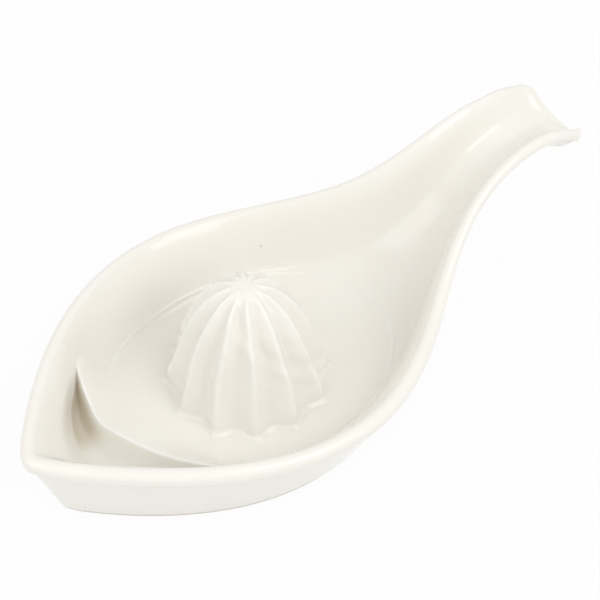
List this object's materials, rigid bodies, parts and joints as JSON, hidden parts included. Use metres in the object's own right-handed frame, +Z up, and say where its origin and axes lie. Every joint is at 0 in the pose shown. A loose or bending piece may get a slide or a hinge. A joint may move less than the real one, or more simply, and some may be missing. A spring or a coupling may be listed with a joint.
{
  "type": "lemon squeezer",
  "caption": "Boat-shaped ceramic lemon squeezer: fluted hollow reamer on a raised floor with a weir, pouring spout and gutter-shaped handle, on an unglazed foot.",
  "frame": {"origin": "on the table, below the middle of the whole length and width", "axes": "+X from the pouring spout towards the handle, +Z up out of the bowl, +Y to the left seen from the spout"},
  "size_m": [0.2268, 0.1104, 0.059],
  "materials": {
    "glazed_ceramic": "glossy cream glaze",
    "bisque": "unglazed, matt"
  },
  "bodies": {
    "root": {"dish": "glazed_ceramic", "reaming_deck": "glazed_ceramic", "reamer": "glazed_ceramic", "foot_ring": "bisque"}
  },
  "joints": []
}
